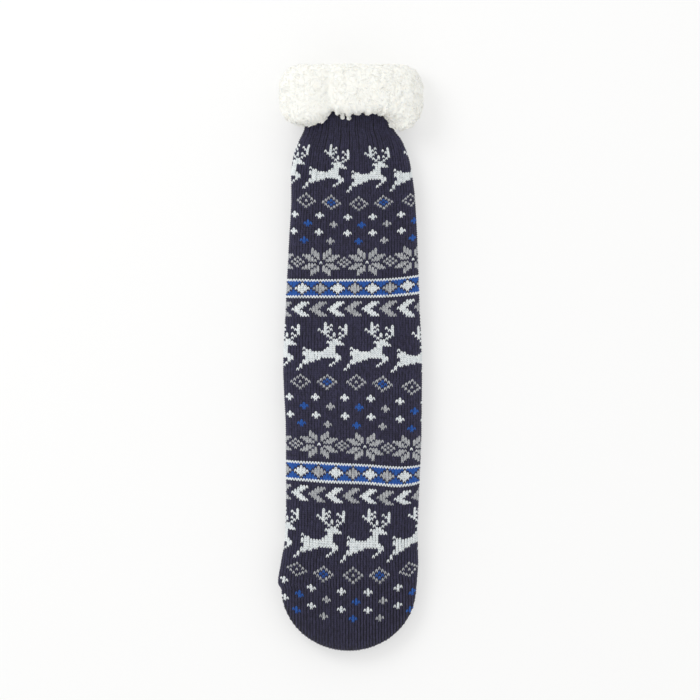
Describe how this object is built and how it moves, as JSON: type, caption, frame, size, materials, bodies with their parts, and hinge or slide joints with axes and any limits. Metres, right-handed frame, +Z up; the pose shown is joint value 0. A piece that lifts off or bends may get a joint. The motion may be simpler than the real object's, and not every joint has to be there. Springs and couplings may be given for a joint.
{
  "type": "house sock",
  "caption": "Lined knit house sock with a rounded toe, a ribbed collar and a thick white fleece cuff turned down over it, laid flat and slack.",
  "frame": {"origin": "on the floor, under the middle of the sock's box as it lies", "axes": "+Y from the toe to the cuff, +X to the right seen from above, +Z up from the sole to the instep"},
  "size_m": [0.1094, 0.434, 0.0463],
  "materials": {
    "knit": "matte acrylic yarn, plain knit with a stranded pattern",
    "lining": "short curled pile fleece",
    "cuff": "deep curled pile fleece"
  },
  "bodies": {
    "root": {"knit_outer": "knit", "fleece_lining": "lining", "fleece_cuff": "cuff"}
  },
  "joints": []
}
